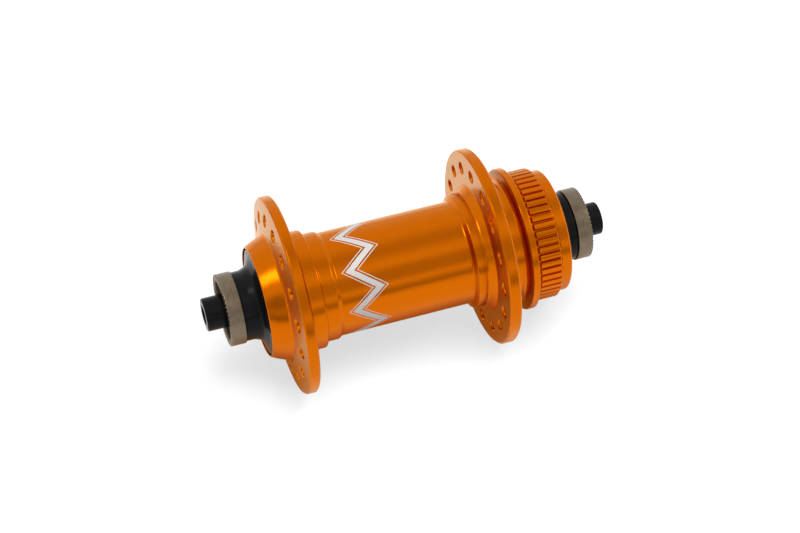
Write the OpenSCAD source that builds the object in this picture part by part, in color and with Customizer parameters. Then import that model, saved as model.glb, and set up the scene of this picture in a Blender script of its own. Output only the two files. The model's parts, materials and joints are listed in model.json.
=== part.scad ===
// Front disc-brake hub for quick-release dropouts, in millimetres.
// The wheel axis is Y. The plain side is -Y and the disc side is +Y.
// The origin is on the axis, midway between the two dropout faces.

/* [Overall] */
// Distance between the two dropout faces (over-locknut dimension)
old_w = 100; // [98:0.5:104]
// Length over the two dropout stubs
stub_span = 109.9; // [106:0.1:112]
// Radius of the stub that sits in the dropout slot
stub_r = 4.45; // [4.3:0.05:4.5]
// Radius of the through hole for the skewer
skewer_r = 2.6; // [2.5:0.05:3]

/* [Flanges] */
// Flange radius
flange_r = 26.6; // [22:0.1:30]
// Edge chamfer of each flange
flange_edge = 0.45; // [0.2:0.05:0.8]
// Spoke holes in each flange
spoke_n = 16; // [9:1:20]
// Pitch-circle radius of the spoke holes, plain side
spoke_l_pcr = 21.42; // [19:0.01:24]
// Pitch-circle radius of the spoke holes, disc side
spoke_r_pcr = 21.96; // [19:0.01:24]
// Spoke hole radius
spoke_r = 1.45; // [1.15:0.05:1.5]
// Countersink radius at the mouth of each spoke hole
spoke_sink_r = 1.85; // [1.4:0.05:1.9]
// Angle of the first spoke hole in the plain-side flange
spoke_phase = 5.5; // [0:0.25:22.5]
// Plain-side flange, outer and inner face at the rim
flange_l_out = -34.12; // [-38:0.01:-30]
flange_l_in = -31.16; // [-34:0.01:-28]
// Disc-side flange, inner and outer face
flange_r_in = 20.27; // [18:0.01:24]
flange_r_out = 23.47; // [21:0.01:27]

/* [Barrel] */
// Barrel radius
barrel_r = 13.93; // [12:0.01:16]
// Radius of the collar beside the plain-side flange
collar_l_r = 15.93; // [14:0.01:18]
// Radius of the second step beside that collar
step_l_r = 14.57; // [13:0.01:16]
// Radius of the collar beside the disc-side flange
collar_r_r = 15.51; // [14:0.01:18]
// Bore of the barrel between the two bearings
barrel_bore_r = 11.6; // [10:0.1:12.4]

/* [Mouth on the plain side] */
// Outer end of the mouth
mouth_y = -40.65; // [-43:0.01:-39]
// Bore of the mouth, around the dust shield
mouth_bore_r = 14.4; // [13.5:0.05:15]

/* [Disc seat] */
// Number of spline teeth
spline_n = 52; // [40:1:60]
// Radius over the teeth
spline_r = 17.7; // [16:0.05:19]
// Radius at the root of the teeth
spline_root_r = 16.95; // [15.5:0.05:18]
// Part of a tooth pitch that is groove, at the tip
spline_gap = 0.42; // [0.2:0.01:0.6]
// Part of a tooth pitch that is groove, at the root
spline_gap_root = 0.26; // [0.1:0.01:0.5]
// Radius of the stop rib
rib_r = 19.33; // [18:0.01:21]
// Face of the stop rib that carries the disc
rib_face_y = 31.35; // [29:0.01:34]
// Outer end of the disc seat
seat_end_y = 41.34; // [39:0.01:44]
// Radius of the plain band outside the teeth
band_r = 16.49; // [15.5:0.01:18]
// Bore for the lockring thread
lock_bore_r = 15; // [14:0.1:15.5]

/* [Bearings] */
// Bore radius of the bearing
bearing_bore_r = 8.5; // [7.5:0.5:10]
// Outer radius of the bearing
bearing_out_r = 13; // [12:0.5:15]
// Width of the bearing
bearing_w = 5; // [4:0.5:7]
// Balls in each bearing
ball_n = 16; // [10:1:20]
// Ball radius
ball_r = 1.25; // [1:0.05:1.6]
// Pitch radius of the balls
ball_pitch_r = 10.75; // [10:0.05:12]
// Middle of the plain-side bearing
bearing_l_y = -35.8; // [-38:0.1:-32]
// Middle of the disc-side bearing
bearing_r_y = 27.8; // [25:0.1:31]

/* [End caps] */
// Radius of the cap's body
cap_r = 9.25; // [8.8:0.05:10]
// Radius of the dust shield on the plain side
shield_l_r = 14.05; // [13:0.05:14.2]
// Radius of the dust shield on the disc side
shield_r_r = 12.6; // [11:0.1:13]
// Radius of the spigot that slides into the axle
spigot_r = 6.95; // [6:0.05:7.5]
// Length of the spigot
spigot_len = 8; // [6:0.5:10]
// Radius of the boss inside the grip ring
boss_r = 8; // [7:0.1:8.5]

/* [Grip rings] */
// Outer radius of the grip ring
grip_r = 9.65; // [9:0.05:10.5]
// Width of the grip ring
grip_w = 4.2; // [3:0.1:5]
// Radial serrations on the face that bites the dropout
grip_n = 53; // [36:1:90]
// Depth of the serrations
grip_depth = 0.34; // [0.15:0.01:0.5]

/* [Axle] */
// Bore at the two ends of the axle
axle_bore_r = 7; // [6.5:0.1:7.5]
// Bore through the middle of the axle
axle_mid_bore_r = 6.2; // [5.5:0.1:6.8]
// Radius of the shoulders that the inner races rest on
axle_shoulder_r = 9.8; // [9:0.1:10]
// Radius of the middle of the axle
axle_mid_r = 9; // [8:0.1:9.6]

/* [Hidden] */
$fn = 96;
face_y = old_w / 2;
tip_y = stub_span / 2;
half_w = bearing_w / 2;
seat_l_y = bearing_l_y + half_w;
seat_r_y = bearing_r_y - half_w;
open_l_y = bearing_l_y - half_w;
open_r_y = bearing_r_y + half_w;
fit_gap = 0.04;
groove_r = 1.3;
land_in_r = 9.95;
land_out_r = 11.55;
seal_seat_r = 12;
seal_seat_d = 0.55;
seal_t = 0.5;
seal_in_r = 10.08;
race_edge = 0.25;
cage_in_r = 10.3;
cage_out_r = 11.2;
cage_half = 1.6;
pocket_w = 2.64;
ring_in_y = face_y - grip_w;
recess_y = face_y - 1.1;
o_ring_r = 0.6;
o_ring_mid_r = 6.37;
o_groove_r = 5.75;
o_groove_half = 0.72;
o_from_end = 3.4;
cap_l_seat = -open_l_y + fit_gap;
cap_r_seat = open_r_y + fit_gap;
nose_r = 9.6;
orange = [0.86, 0.42, 0.05];
black = [0.07, 0.07, 0.08];
steel = [0.55, 0.52, 0.48];
bright = [0.75, 0.75, 0.77];
rubber = [0.05, 0.05, 0.05];
brass = [0.72, 0.6, 0.35];

// Points of an arc, from angle a0 to angle a1
function arc(cr, cy, r, a0, a1, n = 6) =
  [for (i = [0:n]) [cr + r * cos(a0 + (a1 - a0) * i / n), cy + r * sin(a0 + (a1 - a0) * i / n)]];

// Corners of the toothed outline, four to a tooth
function tooth(i, n, r_tip, r_root, g_tip, g_root) =
  let (p = 360 / n, a = p * i, h = p / 2)
  [[a - h + p * g_root / 2, r_root], [a - h + p * g_tip / 2, r_tip],
   [a + h - p * g_tip / 2, r_tip], [a + h - p * g_root / 2, r_root]];

// Revolves a profile of [radius, y] points about the Y axis
module lathe(points) {
  rotate([-90, 0, 0])
    rotate_extrude()
      polygon(points);
}

// Turns a cap drawn for the disc side round to the plain side
module to_left() {
  rotate([0, 0, 180])
    children();
}

// A drill along Y with a countersink at both ends
module spoke_drill(y0, y1) {
  sink = spoke_sink_r - spoke_r;
  lathe([[0, y0 - 2], [spoke_sink_r + 2, y0 - 2], [spoke_r, y0 + sink],
    [spoke_r, y1 - sink], [spoke_sink_r + 2, y1 + 2], [0, y1 + 2]]);
}

module spoke_holes(y0, y1, pcr, phase) {
  for (i = [0:spoke_n - 1])
    rotate([0, -(phase + i * 360 / spoke_n), 0])
      translate([pcr, 0, 0])
        spoke_drill(y0, y1);
}

// Body of the shell with its bores, before drilling
module shell_blank() {
  lathe(concat(
    [[mouth_bore_r, mouth_y], [14.85, mouth_y + 0.3], [15.4, -39.4], [16.05, -37.9], [16.6, -36.4]],
    arc(17.9, -36.45, 1.2, 180, 98, 5),
    [[flange_r - flange_edge, flange_l_out], [flange_r, flange_l_out + flange_edge],
     [flange_r, flange_l_in - flange_edge], [flange_r - flange_edge, flange_l_in]],
    arc(collar_l_r + 1.2, flange_l_in + 1.2, 1.2, 270, 180, 5),
    [[collar_l_r, -26.25]],
    arc(collar_l_r - 0.6, -26.25, 0.6, 0, 90, 4),
    arc(step_l_r + 0.4, -25.25, 0.4, 270, 180, 3),
    [[step_l_r, -22.05], [barrel_r, -20.84], [barrel_r, 14.7]],
    arc(barrel_r + 0.8, 14.7, 0.8, 180, 124, 3),
    [[collar_r_r - 0.3, 15.68], [collar_r_r, 15.86], [collar_r_r, 18.5]],
    arc(collar_r_r + 1.7, flange_r_in - 1.75, 1.7, 180, 95, 5),
    [[collar_r_r + 1.9, flange_r_in], [flange_r - flange_edge, flange_r_in],
     [flange_r, flange_r_in + flange_edge], [flange_r, flange_r_out - flange_edge],
     [flange_r - flange_edge, flange_r_out]],
    arc(17.2, flange_r_out + 1.5, 1.5, 270, 180, 5),
    [[15.7, 28.1]],
    arc(16.9, 28.1, 1.2, 180, 90, 4),
    [[rib_r - 0.4, 29.3], [rib_r, 29.7], [rib_r, rib_face_y - 0.35], [rib_r - 0.35, rib_face_y],
     [16.8, rib_face_y], [16.8, 38.3], [band_r, 38.3], [band_r, seat_end_y - 0.45],
     [band_r - 0.45, seat_end_y], [lock_bore_r + 0.4, seat_end_y], [lock_bore_r, seat_end_y - 0.4],
     [lock_bore_r, open_r_y + 1.6], [bearing_out_r + 0.5, open_r_y + 0.9], [bearing_out_r, open_r_y + 0.4],
     [bearing_out_r, seat_r_y], [barrel_bore_r, seat_r_y], [barrel_bore_r, seat_l_y],
     [bearing_out_r, seat_l_y], [bearing_out_r, open_l_y - 0.2], [bearing_out_r + 0.3, open_l_y - 0.5],
     [mouth_bore_r, open_l_y - 0.5]]));
}

// Ring of spline teeth with chamfered ends
module spline_ring() {
  outline = [for (i = [0:spline_n - 1])
    for (c = tooth(i, spline_n, spline_r, spline_root_r, spline_gap, spline_gap_root))
      [c[1] * cos(c[0]), c[1] * sin(c[0])]];
  intersection() {
    rotate([-90, 0, 0])
      translate([0, 0, rib_face_y + 0.7])
        linear_extrude(height = 38.45 - rib_face_y - 0.7)
          polygon(outline);
    lathe([[16.2, rib_face_y + 0.6], [17.1, rib_face_y + 0.6], [spline_r + 0.3, rib_face_y + 1.2],
      [spline_r + 0.3, 37.7], [17.1, 38.6], [16.2, 38.6]]);
  }
}

module hub_shell() {
  color(orange)
    difference() {
      union() {
        shell_blank();
        spline_ring();
      }
      spoke_holes(-34.85, flange_l_in, spoke_l_pcr, spoke_phase);
      spoke_holes(flange_r_in, flange_r_out, spoke_r_pcr, spoke_phase + 180 / spoke_n);
    }
}

module axle() {
  end_l = open_l_y + 0.2;
  end_r = open_r_y - 0.2;
  color(bright)
    lathe([[axle_bore_r + 0.3, end_l], [bearing_bore_r - 0.3, end_l], [bearing_bore_r, end_l + 0.3],
      [bearing_bore_r, seat_l_y], [axle_shoulder_r, seat_l_y], [axle_shoulder_r, seat_l_y + 4],
      [axle_mid_r, seat_l_y + 5], [axle_mid_r, seat_r_y - 5], [axle_shoulder_r, seat_r_y - 4],
      [axle_shoulder_r, seat_r_y], [bearing_bore_r, seat_r_y], [bearing_bore_r, end_r - 0.3],
      [bearing_bore_r - 0.3, end_r], [axle_bore_r + 0.3, end_r], [axle_bore_r, end_r - 0.3],
      [axle_bore_r, end_r - 11], [axle_mid_bore_r, end_r - 12], [axle_mid_bore_r, end_l + 12],
      [axle_bore_r, end_l + 11], [axle_bore_r, end_l + 0.3]]);
}

// Ring of circular section that cuts the ball track
module ball_track() {
  rotate([-90, 0, 0])
    rotate_extrude()
      translate([ball_pitch_r, 0])
        circle(r = groove_r);
}

module inner_race(y) {
  color(bright)
    translate([0, y, 0])
      difference() {
        lathe([[bearing_bore_r, -half_w + race_edge], [bearing_bore_r + race_edge, -half_w],
          [land_in_r, -half_w], [land_in_r, half_w], [bearing_bore_r + race_edge, half_w],
          [bearing_bore_r, half_w - race_edge]]);
        ball_track();
      }
}

module outer_race(y) {
  color(bright)
    translate([0, y, 0])
      difference() {
        lathe([[seal_seat_r, -half_w], [bearing_out_r - race_edge, -half_w],
          [bearing_out_r, -half_w + race_edge], [bearing_out_r, half_w - race_edge],
          [bearing_out_r - race_edge, half_w], [seal_seat_r, half_w],
          [seal_seat_r, half_w - seal_seat_d], [land_out_r, half_w - seal_seat_d],
          [land_out_r, -half_w + seal_seat_d], [seal_seat_r, -half_w + seal_seat_d]]);
        ball_track();
      }
}

module ball_set(y) {
  color(bright)
    for (i = [0:ball_n - 1])
      rotate([0, i * 360 / ball_n, 0])
        translate([ball_pitch_r, y, 0])
          sphere(r = ball_r);
}

module ball_cage(y) {
  color(brass)
    translate([0, y, 0])
      difference() {
        lathe([[cage_in_r, -cage_half], [cage_out_r, -cage_half],
          [cage_out_r, cage_half], [cage_in_r, cage_half]]);
        for (i = [0:ball_n / 2 - 1])
          rotate([0, i * 360 / ball_n, 0])
            cube([26, pocket_w, pocket_w], center = true);
      }
}

// side is -1 for the seal on the -Y face and 1 for the one on the +Y face
module seal(y, side) {
  mid = y + side * (half_w - seal_seat_d + seal_t / 2);
  color(rubber)
    lathe([[seal_in_r, mid - seal_t / 2], [seal_seat_r, mid - seal_t / 2],
      [seal_seat_r, mid + seal_t / 2], [seal_in_r, mid + seal_t / 2]]);
}

// Spigot and its O-ring groove, up to the seat against the inner race
function spigot_profile(seat) = [
  [skewer_r + 0.3, seat - spigot_len], [spigot_r - 0.5, seat - spigot_len],
  [spigot_r, seat - spigot_len + 0.6], [spigot_r, seat - spigot_len + o_from_end - o_groove_half],
  [o_groove_r, seat - spigot_len + o_from_end - o_groove_half],
  [o_groove_r, seat - spigot_len + o_from_end + o_groove_half],
  [spigot_r, seat - spigot_len + o_from_end + o_groove_half], [spigot_r, seat], [nose_r, seat]];

// Cap body from the shield outwards, with the boss for the ring and the stub
function cap_outside(seat) = [
  [cap_r, ring_in_y - 0.25], [cap_r - 0.25, ring_in_y], [boss_r, ring_in_y],
  [boss_r, recess_y], [stub_r, recess_y], [stub_r, tip_y - 0.55], [stub_r - 0.15, tip_y - 0.2], [stub_r - 0.5, tip_y],
  [skewer_r + 0.3, tip_y], [skewer_r, tip_y - 0.3], [skewer_r, seat - spigot_len + 0.3]];

// Plain side: the shield closes the mouth and flares down to the body
module left_end_cap() {
  color(black)
    to_left()
      lathe(concat(spigot_profile(cap_l_seat),
        [[nose_r, cap_l_seat + 1.1], [shield_l_r - 0.2, cap_l_seat + 1.1],
         [shield_l_r, cap_l_seat + 1.3], [shield_l_r, 40.2]],
        arc(13.0, 44.5, 4.25, 284, 203, 8),
        [[cap_r, 43.3]],
        cap_outside(cap_l_seat)));
}

// Disc side: a smaller shield covers the bearing inside the lockring bore
module right_end_cap() {
  color(black)
    lathe(concat(spigot_profile(cap_r_seat),
      [[nose_r, cap_r_seat + 1.2], [shield_r_r, cap_r_seat + 1.2], [shield_r_r, cap_r_seat + 1.8],
       [shield_r_r - 0.4, cap_r_seat + 2.1], [cap_r + 0.6, cap_r_seat + 2.3],
       [cap_r, cap_r_seat + 2.9]],
      cap_outside(cap_r_seat)));
}

module grip_ring() {
  difference() {
    lathe([[boss_r, ring_in_y], [grip_r - 0.3, ring_in_y], [grip_r, ring_in_y + 0.3],
      [grip_r, face_y - 0.3], [grip_r - 0.3, face_y], [boss_r, face_y]]);
    for (i = [0:grip_n - 1])
      rotate([0, (i + 0.5) * 360 / grip_n, 0])
        translate([boss_r + 1.8, face_y, 0])
          rotate([45, 0, 0])
            cube([3, grip_depth * sqrt(2), grip_depth * sqrt(2)], center = true);
  }
}

module left_grip_ring() {
  color(steel)
    to_left()
      grip_ring();
}

module right_grip_ring() {
  color(steel)
    grip_ring();
}

// Elastic ring that holds a cap in the axle
module o_ring(y) {
  color(rubber)
    translate([0, y, 0])
      rotate([-90, 0, 0])
        rotate_extrude()
          translate([o_ring_mid_r, 0])
            circle(r = o_ring_r);
}

hub_shell();
axle();
inner_race(bearing_l_y);  // left_inner_race
outer_race(bearing_l_y);  // left_outer_race
ball_set(bearing_l_y);  // left_ball_set
ball_cage(bearing_l_y);  // left_ball_cage
seal(bearing_l_y, -1);  // left_outside_seal
seal(bearing_l_y, 1);  // left_inside_seal
inner_race(bearing_r_y);  // right_inner_race
outer_race(bearing_r_y);  // right_outer_race
ball_set(bearing_r_y);  // right_ball_set
ball_cage(bearing_r_y);  // right_ball_cage
seal(bearing_r_y, 1);  // right_outside_seal
seal(bearing_r_y, -1);  // right_inside_seal
left_end_cap();
right_end_cap();
left_grip_ring();
right_grip_ring();
o_ring(-(cap_l_seat - spigot_len + o_from_end));  // left_cap_o_ring
o_ring(cap_r_seat - spigot_len + o_from_end);  // right_cap_o_ring
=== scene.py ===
"""Front disc hub: visual pieces, materials, studio light and camera."""
import json
import math

import bmesh
import bpy
from mathutils import Matrix, Vector

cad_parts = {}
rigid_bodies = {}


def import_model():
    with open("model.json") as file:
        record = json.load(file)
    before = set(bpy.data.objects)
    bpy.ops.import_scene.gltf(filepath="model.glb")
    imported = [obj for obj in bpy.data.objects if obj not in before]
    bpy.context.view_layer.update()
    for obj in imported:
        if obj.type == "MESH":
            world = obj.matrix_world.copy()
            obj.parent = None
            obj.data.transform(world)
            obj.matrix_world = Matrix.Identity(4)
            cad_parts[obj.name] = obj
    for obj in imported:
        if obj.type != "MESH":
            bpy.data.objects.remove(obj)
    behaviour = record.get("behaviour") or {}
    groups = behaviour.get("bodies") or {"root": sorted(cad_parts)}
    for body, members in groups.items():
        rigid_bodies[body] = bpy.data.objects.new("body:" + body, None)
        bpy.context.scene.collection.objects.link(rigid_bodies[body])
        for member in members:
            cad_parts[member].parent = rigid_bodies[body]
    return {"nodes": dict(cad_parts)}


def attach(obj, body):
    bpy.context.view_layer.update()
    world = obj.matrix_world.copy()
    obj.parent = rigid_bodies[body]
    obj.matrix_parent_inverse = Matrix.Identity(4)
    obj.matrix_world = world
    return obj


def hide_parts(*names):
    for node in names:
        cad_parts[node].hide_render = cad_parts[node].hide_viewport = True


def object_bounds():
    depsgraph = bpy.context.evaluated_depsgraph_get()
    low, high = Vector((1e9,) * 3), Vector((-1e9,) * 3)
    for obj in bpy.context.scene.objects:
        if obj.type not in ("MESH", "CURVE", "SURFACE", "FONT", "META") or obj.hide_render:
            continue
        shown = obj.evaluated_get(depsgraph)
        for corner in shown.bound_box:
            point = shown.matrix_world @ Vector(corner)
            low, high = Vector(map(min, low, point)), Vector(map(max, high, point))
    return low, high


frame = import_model()
cad_lo, cad_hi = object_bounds()
MM = 0.001

# ---------------------------------------------------------------- camera and floor height

VIEW_AZ, VIEW_EL = math.radians(71.84), math.radians(49.22)
VIEW_FROM = (0.35057, -0.11627, 0.42777)
FLOOR_GAP = 0.0001
right = Vector((math.cos(VIEW_AZ), math.sin(VIEW_AZ), 0))
back = Vector((math.sin(VIEW_AZ) * math.cos(VIEW_EL), -math.cos(VIEW_AZ) * math.cos(VIEW_EL),
               math.sin(VIEW_EL)))
up = back.cross(right)

cam_data = bpy.data.cameras.new("camera")
cam_data.sensor_width = 36
cam_data.lens = 95.9
cam_data.clip_start, cam_data.clip_end = 0.01, 20
camera = bpy.data.objects.new("camera", cam_data)
bpy.context.scene.collection.objects.link(camera)
camera.matrix_world = Matrix.Translation(VIEW_FROM) @ Matrix((
    (right.x, up.x, back.x, 0), (right.y, up.y, back.y, 0), (right.z, up.z, back.z, 0), (0, 0, 0, 1)))
bpy.context.scene.camera = camera
bpy.context.scene.view_settings.view_transform = "Standard"

floor_z = cad_lo.z - FLOOR_GAP

# ---------------------------------------------------------------- node helpers


class Tree:
    """A small wrapper for writing shader trees."""

    def __init__(self, tree):
        self.tree = tree
        self.links = tree.links

    def node(self, kind, **values):
        n = self.tree.nodes.new(kind)
        for key, value in values.items():
            setattr(n, key, value)
        return n

    def feed(self, socket, value):
        if hasattr(value, "links"):
            self.links.new(value, socket)
        else:
            socket.default_value = value

    def math(self, op, a, b=0.0):
        n = self.node("ShaderNodeMath", operation=op)
        for socket, value in zip(n.inputs, (a, b)):
            self.feed(socket, value)
        return n.outputs[0]

    def mix(self, factor, a, b):
        """Mixes two colours. Sockets 6, 7 and 2 are the mix node's colour inputs and output."""
        n = self.node("ShaderNodeMix", data_type="RGBA")
        self.feed(n.inputs["Factor"], factor)
        self.feed(n.inputs[6], a)
        self.feed(n.inputs[7], b)
        return n.outputs[2]

    def ramp(self, value, stops):
        """Grey levels at places from 0 to 1."""
        n = self.node("ShaderNodeValToRGB")
        while len(n.color_ramp.elements) < len(stops):
            n.color_ramp.elements.new(0.5)
        for element, (place, level) in zip(n.color_ramp.elements, stops):
            element.position = place
            element.color = (level, level, level, 1)
        self.feed(n.inputs[0], value)
        return n.outputs[0]

    def map_range(self, value, a, b, c, d):
        """Maps a..b onto c..d."""
        n = self.node("ShaderNodeMapRange")
        for socket, v in zip(n.inputs, (value, a, b, c, d)):
            self.feed(socket, v)
        return n.outputs[0]


def polar(t):
    """Object coordinates as millimetres: radius from the axle, place along it, and angle round it."""
    tex = t.node("ShaderNodeTexCoord")
    sep = t.node("ShaderNodeSeparateXYZ")
    t.feed(sep.inputs[0], tex.outputs["Object"])
    x, y, z = (t.math("MULTIPLY", o, 1000) for o in sep.outputs)
    radius = t.math("SQRT", t.math("ADD", t.math("MULTIPLY", x, x), t.math("MULTIPLY", z, z)))
    return tex.outputs["Object"], radius, y, t.math("ARCTAN2", z, x)


def noise(t, vector, scale, detail, roughness=0.5):
    n = t.node("ShaderNodeTexNoise")
    t.feed(n.inputs["Vector"], vector)
    n.inputs["Scale"].default_value = scale
    n.inputs["Detail"].default_value = detail
    n.inputs["Roughness"].default_value = roughness
    return n.outputs[0]


def turned_lines(t, radius, y, pitch):
    """Lathe marks: rings on the outside of a part and circles on its faces."""
    v = t.node("ShaderNodeCombineXYZ")
    t.feed(v.inputs[0], t.math("DIVIDE", radius, pitch))
    t.feed(v.inputs[1], t.math("DIVIDE", y, pitch))
    return noise(t, v.outputs[0], 1.0, 3.0, 0.55)


def new_material(name):
    m = bpy.data.materials.new(name)
    m.use_nodes = True
    m.node_tree.nodes.clear()
    t = Tree(m.node_tree)
    out = t.node("ShaderNodeOutputMaterial")
    shader = t.node("ShaderNodeBsdfPrincipled")
    t.links.new(shader.outputs[0], out.inputs[0])
    return m, t, shader


def bump(t, shader, height, strength, distance):
    n = t.node("ShaderNodeBump")
    n.inputs["Strength"].default_value = strength
    n.inputs["Distance"].default_value = distance
    t.feed(n.inputs["Height"], height)
    t.links.new(n.outputs[0], shader.inputs["Normal"])


def band_mask(t, radius, y, angle):
    """Etched band on the barrel: a zigzag stroke round it, with a thin line on both sides."""
    middle, swing, count, barrel_r = -13.75, 3.5, 8, 13.93
    core_half, line_in, line_out = 0.72, 1.18, 1.40
    period = 2 * math.pi * barrel_r / count
    lean = math.cos(math.atan(4 * swing / period))
    phase = t.math("FRACT", t.math("ADD", t.math("MULTIPLY", angle, count / (2 * math.pi)), 500.2))
    wave = t.math("SUBTRACT", t.math("MULTIPLY", t.math("ABSOLUTE", t.math("SUBTRACT", phase, 0.5)), 4.0), 1.0)
    off = t.math("SUBTRACT", t.math("SUBTRACT", y, middle), t.math("MULTIPLY", wave, swing))
    away = t.math("MULTIPLY", t.math("ABSOLUTE", off), lean)
    core = t.math("LESS_THAN", away, core_half)
    line = t.math("MULTIPLY", t.math("GREATER_THAN", away, line_in), t.math("LESS_THAN", away, line_out))
    on_barrel = t.math("GREATER_THAN", radius, 13.5)
    return t.math("MULTIPLY", t.math("MAXIMUM", line, core), on_barrel)


def flange_faces(t, radius):
    """1 on the flat faces of the two flanges and 0 elsewhere. These faces have a finer satin finish and a
    paler base colour, which is a painted sheen.
    """
    tex = t.node("ShaderNodeTexCoord")
    sep = t.node("ShaderNodeSeparateXYZ")
    t.feed(sep.inputs[0], tex.outputs["Normal"])
    square = t.map_range(t.math("ABSOLUTE", sep.outputs[1]), 0.80, 0.95, 0.0, 1.0)
    return t.math("MULTIPLY", square, t.math("GREATER_THAN", radius, 17.5))


def orange_material():
    m, t, s = new_material("orange_anodised")
    place, radius, y, angle = polar(t)
    lines = turned_lines(t, radius, y, 0.16)
    blotch = noise(t, place, 55.0, 3.0)
    deep = t.mix(t.math("MULTIPLY", blotch, 0.6), (0.555, 0.118, 0.0008, 1), (0.525, 0.106, 0.0005, 1))
    streak = t.mix(t.map_range(lines, 0.35, 0.65, 0.0, 0.22), deep, (0.61, 0.152, 0.0018, 1))
    mask = band_mask(t, radius, y, angle)
    satin_and_painted_sheen = flange_faces(t, radius)
    # painted sheen: the flange faces get a paler, less saturated base colour; the coat and roughness below are
    # their satin finish
    skin = t.mix(satin_and_painted_sheen, streak, (0.52, 0.180, 0.026, 1))
    t.feed(s.inputs["Base Color"], t.mix(mask, skin, (0.33, 0.33, 0.33, 1)))
    gloss = t.map_range(lines, 0.3, 0.7, 0.16, 0.25)
    gloss = t.math("ADD", gloss, t.math("MULTIPLY", satin_and_painted_sheen, 0.15))
    t.feed(s.inputs["Roughness"], t.math("ADD", gloss, t.math("MULTIPLY", mask, 0.28)))
    t.feed(s.inputs["Coat Weight"], t.map_range(satin_and_painted_sheen, 0.0, 1.0, 0.0, 0.42))
    s.inputs["Coat Roughness"].default_value = 0.2
    t.feed(s.inputs["Metallic"], t.math("SUBTRACT", 1.0, t.math("MULTIPLY", mask, 0.8)))
    s.inputs["Specular Tint"].default_value = (1.0, 0.93, 0.70, 1)
    height = t.math("SUBTRACT", lines, t.math("MULTIPLY", mask, 1.6))
    bump(t, s, height, 0.30, 0.000008)
    return m


def black_material():
    m, t, s = new_material("black_anodised")
    place, radius, y, _ = polar(t)
    lines = turned_lines(t, radius, y, 0.14)
    blotch = noise(t, place, 90.0, 3.0)
    t.feed(s.inputs["Base Color"],
           t.mix(blotch, (0.0020, 0.0020, 0.0022, 1), (0.0038, 0.0038, 0.0040, 1)))
    t.feed(s.inputs["Roughness"], t.map_range(lines, 0.3, 0.7, 0.15, 0.22))
    s.inputs["IOR"].default_value = 1.17
    bump(t, s, lines, 0.35, 0.000008)
    return m


def steel_material(name, dark, light, rough, pitch=0.12, strength=0.4):
    m, t, s = new_material(name)
    place, radius, y, _ = polar(t)
    lines = turned_lines(t, radius, y, pitch)
    grain = noise(t, place, 900.0, 4.0)
    tone = t.math("ADD", t.math("MULTIPLY", lines, 0.55), t.math("MULTIPLY", grain, 0.45))
    t.feed(s.inputs["Base Color"], t.mix(t.map_range(tone, 0.35, 0.65, 0, 1), (*dark, 1), (*light, 1)))
    t.feed(s.inputs["Roughness"], t.map_range(tone, 0.3, 0.7, rough - 0.05, rough + 0.06))
    s.inputs["Metallic"].default_value = 1.0
    bump(t, s, tone, strength, 0.00001)
    return m


def rubber_material(name, tone, rough):
    m, t, s = new_material(name)
    place, _, _, _ = polar(t)
    grain = noise(t, place, 2600.0, 4.0, 0.6)
    light = (tone * 1.7, tone * 1.7, tone * 1.75, 1)
    t.feed(s.inputs["Base Color"], t.mix(grain, (tone, tone, tone, 1), light))
    t.feed(s.inputs["Roughness"], t.map_range(grain, 0.3, 0.7, rough - 0.06, rough + 0.06))
    bump(t, s, grain, 0.3, 0.00002)
    return m


def cage_material():
    m, t, s = new_material("cage_polymer")
    place, _, _, _ = polar(t)
    grain = noise(t, place, 1800.0, 3.0)
    t.feed(s.inputs["Base Color"], t.mix(grain, (0.62, 0.52, 0.32, 1), (0.74, 0.66, 0.46, 1)))
    t.feed(s.inputs["Roughness"], t.map_range(grain, 0.3, 0.7, 0.4, 0.5))
    s.inputs["Subsurface Weight"].default_value = 0.1
    s.inputs["Subsurface Scale"].default_value = 0.0005
    bump(t, s, grain, 0.2, 0.00001)
    return m


ORANGE = orange_material()
BLACK = black_material()
RING = steel_material("ring_steel", (0.142, 0.107, 0.072), (0.215, 0.167, 0.114), 0.34)
BEARING = steel_material("bearing_steel", (0.52, 0.52, 0.53), (0.64, 0.64, 0.65), 0.16, 0.08, 0.12)
ALLOY = steel_material("axle_alloy", (0.60, 0.60, 0.61), (0.76, 0.76, 0.77), 0.28, 0.16, 0.35)
SEAL = rubber_material("seal_rubber", 0.022, 0.52)
O_RING = rubber_material("o_ring_rubber", 0.014, 0.38)
CAGE = cage_material()

# ---------------------------------------------------------------- mesh helpers


ARC_STEP = math.radians(12)
STRAIGHT = math.radians(89)


def fillet(corners):
    """Rounds each corner (radius, y, fillet) of a closed profile. A fillet of 0 keeps the point."""
    out = []
    n = len(corners)
    for i, (r, y, f) in enumerate(corners):
        p = Vector((r, y))
        a = Vector(corners[i - 1][:2]) - p
        b = Vector(corners[(i + 1) % n][:2]) - p
        if f <= 0:
            out.append((r, y))
            continue
        u, v = a.normalized(), b.normalized()
        half = math.acos(max(-1, min(1, u.dot(v)))) / 2
        if half > STRAIGHT:
            out.append((r, y))
            continue
        t = min(f / math.tan(half), 0.49 * a.length, 0.49 * b.length)
        f = t * math.tan(half)
        c = p + (u + v).normalized() * (f / math.sin(half))
        s, e = p + u * t - c, p + v * t - c
        a0 = math.atan2(s.y, s.x)
        sweep = (math.atan2(e.y, e.x) - a0 + math.pi) % (2 * math.pi) - math.pi
        k = max(2, math.ceil(abs(sweep) / ARC_STEP))
        turns = [a0 + sweep * j / k for j in range(k + 1)]
        out += [(c.x + f * math.cos(a), c.y + f * math.sin(a)) for a in turns]
    return out


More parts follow.
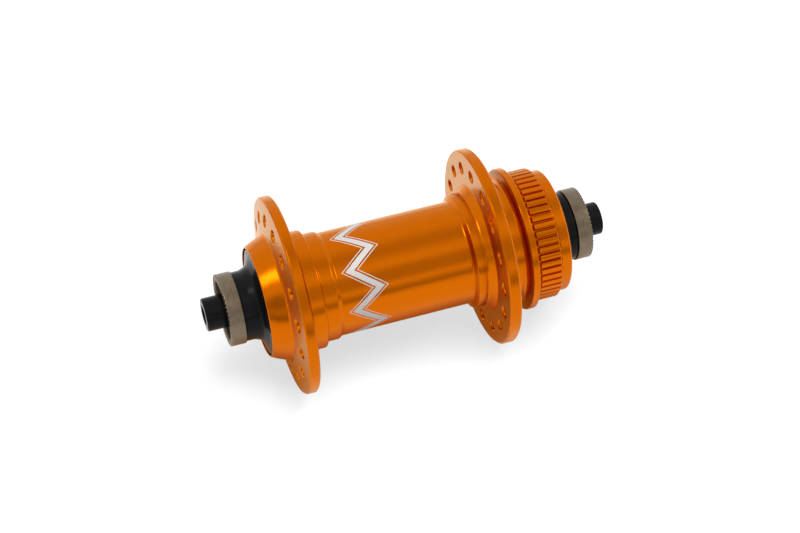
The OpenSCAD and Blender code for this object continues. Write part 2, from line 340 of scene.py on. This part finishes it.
class Turned:
    """A closed ring-by-ring mesh round the Y axis, in millimetres."""

    def __init__(self, n):
        self.n = n
        self.verts = []
        self.faces = []

    def point(self, radius, y, angle):
        self.verts.append((radius * math.cos(angle) * MM, y * MM, radius * math.sin(angle) * MM))
        return len(self.verts) - 1

    def ring(self, radius, y):
        """radius and y are numbers or functions of the step. radius may give (radius, angle)."""
        out = []
        for j in range(self.n):
            angle = 2 * math.pi * j / self.n
            r = radius(j) if callable(radius) else radius
            if isinstance(r, tuple):
                r, angle = r
            out.append(self.point(r, y(j) if callable(y) else y, angle))
        return out

    def bridge(self, a, b):
        n = len(a)
        for j in range(n):
            self.faces.append((a[j], a[(j + 1) % n], b[(j + 1) % n], b[j]))

    def skin(self, rings, skip=()):
        """Joins each ring to the next and the last to the first, except where skip says."""
        for i in range(len(rings)):
            if i not in skip:
                self.bridge(rings[i], rings[(i + 1) % len(rings)])

    def build(self, name, material, body):
        mesh = bpy.data.meshes.new(name)
        mesh.from_pydata(self.verts, [], self.faces)
        mesh.validate()
        bm = bmesh.new()
        bm.from_mesh(mesh)
        bmesh.ops.recalc_face_normals(bm, faces=bm.faces)
        bm.to_mesh(mesh)
        bm.free()
        for p in mesh.polygons:
            p.use_smooth = True
        mesh.materials.append(material)
        o = bpy.data.objects.new(name, mesh)
        bpy.context.scene.collection.objects.link(o)
        w = o.modifiers.new("weighted_normal", "WEIGHTED_NORMAL")
        w.weight = 60
        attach(o, body)
        return o


LATHE_STEPS = 256


def lathe(name, corners, material, body):
    t = Turned(LATHE_STEPS)
    t.skin([t.ring(r, y) for r, y in fillet(corners)])
    return t.build(name, material, body)


# ---------------------------------------------------------------- hub shell

TEETH = 52
STEPS = TEETH * 8
SPOKES = 16
SECTOR = STEPS // SPOKES
HOLE_R, SINK_R, BREAK = 1.47, 1.87, 0.035
IN_R, OUT_R = 19.3, 24.2
SIDE_STEPS = 10
ROOT_R, TIP_R = 16.95, 17.7
TOOTH = ((0.0, TIP_R), (0.295, TIP_R), (0.33, TIP_R - 0.10), (0.385, ROOT_R), (0.5, ROOT_R - 0.03),
         (0.615, ROOT_R), (0.67, TIP_R - 0.10), (0.705, TIP_R))


def tooth_ring(cap_r):
    def place(j):
        frac, r = TOOTH[j % 8]
        return min(r, cap_r), 2 * math.pi * (j // 8 + frac) / TEETH
    return place


def drill(t, lo_face, hi_face, lo_rings, hi_rings, phase, pcr):
    """Fills the gap left in both faces of a flange with a ring of sectors, each round a countersunk hole.

    lo_face and hi_face give y at a radius. lo_rings and hi_rings are the inner and outer edges of the gaps.
    phase is the first hole's angle in degrees, and pcr the radius of the circle through the holes.
    """
    first = round((phase - 180 / SPOKES) / (360 / STEPS))

    def boundary(face, rings):
        """One loop of points for each sector: inner arc, side, outer arc, side."""
        sides = {}
        for s in range(SPOKES):
            j = (first + s * SECTOR) % STEPS
            angle = 2 * math.pi * j / STEPS
            sides[j] = [t.point(r, face(r), angle) for r in
                        (IN_R + (OUT_R - IN_R) * k / SIDE_STEPS for k in range(1, SIDE_STEPS))]
        loops = []
        for s in range(SPOKES):
            j0 = first + s * SECTOR
            j1 = j0 + SECTOR
            loop = [rings[0][j % STEPS] for j in range(j0, j1 + 1)]
            loop += sides[j1 % STEPS]
            loop += [rings[1][j % STEPS] for j in range(j1, j0 - 1, -1)]
            loop += sides[j0 % STEPS][::-1]
            loops.append(loop)
        return loops

    def inward(face, loop, centre, into):
        """Loops from a sector's edge to the hole's wall, each with as many points as the edge."""
        cx, cz = pcr * math.cos(centre), pcr * math.sin(centre)
        edge = [Vector((t.verts[i][0] / MM - cx, t.verts[i][2] / MM - cz)) for i in loop]
        out = [loop]
        for share in (0.55, 0.2, 0.0):
            row = []
            for v in edge:
                p = v.normalized() * (SINK_R + 0.06) * (1 - share) + v * share
                x, z = cx + p.x, cz + p.y
                row.append(len(t.verts))
                t.verts.append((x * MM, face(math.hypot(x, z)) * MM, z * MM))
            out.append(row)
        level = face(pcr)
        # radius and depth of the broken edge, of the foot of the countersink and of the start of the wall
        for r, depth in ((SINK_R - 0.02, BREAK), (HOLE_R + 0.05, SINK_R - HOLE_R - 0.03),
                         (HOLE_R, SINK_R - HOLE_R + 0.06)):
            row = []
            for v in edge:
                p = v.normalized() * r
                x, z = cx + p.x, cz + p.y
                base = face(math.hypot(x, z)) if depth == BREAK else level
                row.append(len(t.verts))
                t.verts.append((x * MM, (base + into * depth) * MM, z * MM))
            out.append(row)
        return out

    lo_loops, hi_loops = boundary(lo_face, lo_rings), boundary(hi_face, hi_rings)
    for s in range(SPOKES):
        centre = math.radians(phase + s * 360 / SPOKES)
        a = inward(lo_face, lo_loops[s], centre, 1)
        b = inward(hi_face, hi_loops[s], centre, -1)
        rows = a + b[::-1]
        for p, q in zip(rows, rows[1:]):
            t.bridge(p, q)


def make_shell():
    t = Turned(STEPS)
    cone_end, rim_y = (17.05, -35.47), -34.12

    def left_out(r):
        return cone_end[1] + (r - cone_end[0]) * (rim_y - cone_end[1]) / (26.15 - cone_end[0])

    left_in, right_in, right_out = -31.16, 20.27, 23.47
    corners = [
        (14.4, -40.65, 0.10), (14.82, -40.42, 0.18), (15.75, -38.6, 5.0), (cone_end[0], cone_end[1], 1.1),
        (IN_R, left_out(IN_R), 0), (OUT_R, left_out(OUT_R), 0), (26.15, rim_y, 0.15),
        (26.6, -33.67, 0.15), (26.6, -31.61, 0.15), (26.15, left_in, 0.15),
        (OUT_R, left_in, 0), (IN_R, left_in, 0), (15.93, left_in, 1.3),
        (15.93, -25.64, 0.55), (14.57, -25.64, 0.35), (14.57, -22.1, 0.5), (13.93, -20.95, 0.6),
        (13.93, 14.75, 0.7), (15.51, 15.75, 0.4), (15.51, 18.35, 0.9), (17.3, 20.27, 0.9),
        (IN_R, right_in, 0), (OUT_R, right_in, 0), (26.15, right_in, 0.15),
        (26.6, 20.72, 0.15), (26.6, 23.02, 0.15), (26.15, right_out, 0.15),
        (OUT_R, right_out, 0), (IN_R, right_out, 0), (15.7, right_out, 1.5),
        (15.7, 29.3, 1.2), (19.33, 29.3, 0.42), (19.33, 31.35, 0.35), (16.9, 31.35, 0.12)]
    outer = fillet(corners + [(16.9, 31.9, 0), (13.0, 31.9, 0)])[:-2]
    rings = [t.ring(r, y) for r, y in outer]
    # the step before each gap that is left for the holes
    gaps = {}
    for i, (r, y) in enumerate(outer):
        for key, r0, y0 in (("left_out", IN_R, left_out(IN_R)), ("left_in", OUT_R, left_in),
                            ("right_in", IN_R, right_in), ("right_out", OUT_R, right_out)):
            if abs(r - r0) < 1e-4 and abs(y - y0) < 1e-4:
                gaps[key] = i
    # the teeth, with a bevel at both ends
    rings.append(t.ring(16.9, 31.85))
    for cap_r, y in ((ROOT_R, 32.0), (TIP_R - 0.16, 32.2), (TIP_R, 32.42), (TIP_R, 37.75),
                     (TIP_R - 0.14, 38.0), (ROOT_R, 38.4)):
        rings.append(t.ring(tooth_ring(cap_r), y))
    inner = [
        (16.75, 38.45, 0), (16.49, 38.62, 0.1), (16.49, 40.9, 0.3), (16.05, 41.34, 0.12),
        (15.3, 41.34, 0.08), (15.05, 41.05, 0)]
    # the lockring's thread, as rings 1 mm apart
    y = 41.0
    while y > 33.2:
        inner += [(15.0, y, 0), (15.0, y - 0.18, 0), (15.34, y - 0.45, 0), (15.34, y - 0.55, 0),
                  (15.0, y - 0.82, 0)]
        y -= 1.0
    inner += [
        (15.0, 32.0, 0.3), (13.5, 31.3, 0.1), (13.0, 30.75, 0.1), (13.0, 25.3, 0.15), (11.6, 25.3, 0.2),
        (11.6, -33.3, 0.2), (13.0, -33.3, 0.15), (13.0, -38.45, 0.08), (13.3, -38.8, 0.08),
        (14.4, -38.8, 0.2)]
    tail = fillet([(16.9, 38.4, 0)] + inner + [(14.4, -40.65, 0)])[1:-1]
    rings += [t.ring(r, y) for r, y in tail]
    t.skin(rings, skip=set(gaps.values()))

    def pair(key):
        """The rings on the two sides of a gap, the inner one first."""
        a, b = rings[gaps[key]], rings[gaps[key] + 1]
        return (a, b) if key in ("left_out", "right_in") else (b, a)

    drill(t, left_out, lambda r: left_in, pair("left_out"), pair("left_in"), 5.5, 21.5)
    drill(t, lambda r: right_in, lambda r: right_out, pair("right_in"), pair("right_out"), 16.75, 21.85)
    shell = t.build("hub_shell_turned", ORANGE, "shell")
    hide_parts("hub_shell")


make_shell()

# ---------------------------------------------------------------- end caps


def cap_corners(seat, middle):
    """Profile of an end cap outwards from its spigot. middle is what lies between the seat and the body."""
    end = seat - 8.0
    groove = (end + 2.68, end + 4.12)
    return ([(2.6, end, 0.2), (6.95, end, 0.5), (6.95, groove[0], 0.08), (5.75, groove[0], 0.1),
             (5.75, groove[1], 0.1), (6.95, groove[1], 0.08), (6.95, seat, 0.1), (9.6, seat, 0.15)] + middle +
            [(9.25, 45.8, 0.22), (8.0, 45.8, 0.05), (8.0, 48.9, 0.0), (4.45, 48.9, 0.2), (4.45, 54.95, 0.5),
             (2.6, 54.95, 0.15)])


def mirrored(corners, side):
    return [(r, y * side, f) for r, y, f in corners]


left_middle = [(9.6, 39.44, 0.3), (14.05, 39.44, 0.15), (14.05, 40.28, 0.14), (12.0, 40.62, 3.0),
               (9.9, 41.6, 1.6), (9.25, 43.5, 1.2)]
right_middle = [(9.6, 31.5, 0.2), (12.6, 31.5, 0.1), (12.6, 32.3, 0.35), (9.25, 32.65, 0.8)]
for side, middle, seat in ((-1, left_middle, 38.34), (1, right_middle, 30.34)):
    which = "left" if side < 0 else "right"
    cap = lathe(which + "_cap_turned", mirrored(cap_corners(seat, middle), side), BLACK,
                which + "_cap")
    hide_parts(which + "_end_cap")

# ---------------------------------------------------------------- grip rings

GRIP_TEETH = 53
NOTCH = 0.34
FACE_Y = 50


def make_grip(which, side):
    n = GRIP_TEETH * 8
    t = Turned(n)
    # a land over five of the eight steps, and a notch over the rest
    depth = (0, 0, 0, 0.5, 1, 0.5, 0, 0)

    def face(level):
        return lambda j: side * min(level, FACE_Y - NOTCH * depth[j % 8])

    def spot(r):
        """Steps placed so that the notch is as wide as it is deep at each radius."""
        def place(j):
            pitch = 2 * math.pi / GRIP_TEETH
            half = min(0.41, NOTCH / r / pitch)
            frac = (0, 0.46 - half, 0.5 - half, 0.5 - half / 2, 0.5,
                    0.5 + half / 2, 0.5 + half, 0.54 + half)[j % 8]
            return r, pitch * (j // 8 + frac)
        return place

    plain = fillet([(8.0, 49.4, 0), (8.0, 45.85, 0.08), (9.65, 45.85, 0.28), (9.65, 49.3, 0),
                    (9.65, 49.5, 0)])
    rings = [t.ring(r, side * y) for r, y in plain]
    for r, level in ((9.65, 49.78), (9.6, 49.9), (9.5, 49.98), (9.4, FACE_Y), (8.7, FACE_Y), (8.08, FACE_Y),
                     (8.02, 49.95)):
        rings.append(t.ring(spot(r), face(level)))
    t.skin(rings)
    ring = t.build(which + "_ring_turned", RING, which + "_cap")
    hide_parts(which + "_grip_ring")


make_grip("left", -1)
make_grip("right", 1)

# ---------------------------------------------------------------- outer bearing seals

for which, mid, side in (("left", -35.8, -1), ("right", 27.8, 1)):
    face = mid + side * 2.45
    y = [face - side * 0.5, face, face - side * 0.18, face - side * 0.1, face - side * 0.3]
    seal = lathe(which + "_seal_moulded", [
        (10.08, y[0], 0.05), (12.0, y[0], 0.05), (12.0, y[3], 0.08), (11.8, y[1], 0.1), (11.5, y[1], 0.08),
        (11.38, y[2], 0.05), (10.62, y[2], 0.05), (10.5, y[1], 0.08), (10.3, y[3], 0.08),
        (10.08, y[4], 0.06)], SEAL, "shell")
    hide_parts(which + "_outside_seal")

# ---------------------------------------------------------------- inner pieces keep their CAD shape


def paint(node, material):
    o = frame["nodes"][node]
    for s in o.material_slots:
        s.link = "OBJECT"
        s.material = material


paint("axle", ALLOY)
for which in ("left", "right"):
    for part in ("inner_race", "outer_race", "ball_set"):
        paint(which + "_" + part, BEARING)
    paint(which + "_ball_cage", CAGE)
    paint(which + "_inside_seal", SEAL)
    paint(which + "_cap_o_ring", O_RING)

# ---------------------------------------------------------------- floor and light


def floor_material():
    m, t, s = new_material("floor_white")
    tex = t.node("ShaderNodeTexCoord")
    grain = noise(t, tex.outputs["Object"], 400.0, 3.0)
    white = t.mix(grain, (0.49, 0.49, 0.49, 1), (0.51, 0.51, 0.51, 1))
    # painted shade and bounce light: in the metal's reflections the floor under the hub is warm and dark, as
    # if shaded by the hub and lit by its orange metal
    sep = t.node("ShaderNodeSeparateXYZ")
    t.feed(sep.inputs[0], tex.outputs["Object"])
    across = t.map_range(t.math("ABSOLUTE", sep.outputs[0]), 0.010, 0.028, 1.0, 0.0)
    along = t.map_range(t.math("ABSOLUTE", sep.outputs[1]), 0.040, 0.060, 1.0, 0.0)
    seen = t.node("ShaderNodeLightPath").outputs["Is Glossy Ray"]
    painted_shade_under = t.math("MULTIPLY", t.math("MULTIPLY", across, along), seen)
    # painted shade: glossy rays see a dark orange-brown floor and glow under the hub
    t.feed(s.inputs["Base Color"], t.mix(painted_shade_under, white, (0.34, 0.135, 0.020, 1)))
    t.feed(s.inputs["Emission Color"], t.mix(painted_shade_under, (1, 1, 1, 1), (0.5, 0.2, 0.03, 1)))
    s.inputs["Emission Strength"].default_value = 0.09
    s.inputs["Roughness"].default_value = 0.8
    s.inputs["Specular IOR Level"].default_value = 0.0
    return m


FLOOR_HALF = 6.0
mesh = bpy.data.meshes.new("floor")
mesh.from_pydata([(-FLOOR_HALF, -FLOOR_HALF, floor_z), (FLOOR_HALF, -FLOOR_HALF, floor_z),
                  (FLOOR_HALF, FLOOR_HALF, floor_z), (-FLOOR_HALF, FLOOR_HALF, floor_z)], [], [(0, 1, 2, 3)])
mesh.materials.append(floor_material())
floor = bpy.data.objects.new("floor", mesh)
bpy.context.scene.collection.objects.link(floor)


def area_light(name, place, aim, size, power):
    data = bpy.data.lights.new(name, "AREA")
    data.shape = "RECTANGLE"
    data.size, data.size_y = size
    data.energy = power
    o = bpy.data.objects.new(name, data)
    o.location = place
    o.rotation_mode = "QUATERNION"
    o.rotation_quaternion = (Vector(aim) - Vector(place)).to_track_quat("-Z", "Y")
    bpy.context.scene.collection.objects.link(o)
    return o


area_light("overhead_softbox", (-0.07, -0.62, 0.86), (0, -0.02, 0), (0.30, 0.60), 2.5)
key = area_light("key_overhead", (0.12, 0.15, 1.15), (0, 0, 0), (0.85, 0.85), 19.0)
key.visible_glossy = False
area_light("side_softbox", (0.25, 0.92, 1.02), (0, 0, 0), (0.5, 0.5), 2.3)

# light around the set, by the angle in degrees round the wheel axis from +X over the top
AROUND = ((-180, 0.90), (-90, 0.90), (-5, 0.85), (-1, 0.30), (8, 0.50), (14, 0.85), (19, 1.0), (24, 0.80),
          (29, 0.56), (49, 0.56), (59, 0.90), (69, 0.90), (79, 0.73), (89, 0.60), (99, 0.60), (109, 0.72),
          (121, 0.86), (180, 0.90))

world = bpy.data.worlds.new("studio")
world.use_nodes = True
world.node_tree.nodes.clear()
w = Tree(world.node_tree)
w_out = w.node("ShaderNodeOutputWorld")
w_bg = w.node("ShaderNodeBackground")
w.links.new(w_bg.outputs[0], w_out.inputs[0])
w_tex = w.node("ShaderNodeTexCoord")
w_sep = w.node("ShaderNodeSeparateXYZ")
w.feed(w_sep.inputs[0], w_tex.outputs["Generated"])
w_x, w_y, w_z = w_sep.outputs
turn = w.map_range(w.math("ARCTAN2", w_z, w_x), -math.pi, math.pi, 0.0, 1.0)
level = w.ramp(turn, [((a + 180) / 360, v) for a, v in AROUND])
# the plain side's end of the set is darker low down on the +X side
low_front = w.math("MULTIPLY", w.map_range(w_y, -0.30, -0.52, 0.0, 1.0),
                   w.map_range(w_x, 0.35, 0.60, 0.0, 1.0))
level = w.math("MULTIPLY", level, w.math("SUBTRACT", 1.0, w.math("MULTIPLY", low_front, 0.35)))
w.feed(w_bg.inputs[0], level)
w_bg.inputs[1].default_value = 1.25
bpy.context.scene.world = world

# the white sweep stays neutral: the hub's own colour doesn't spread over it
for o in bpy.context.scene.objects:
    if o.type == "MESH" and o is not floor:
        o.visible_diffuse = False
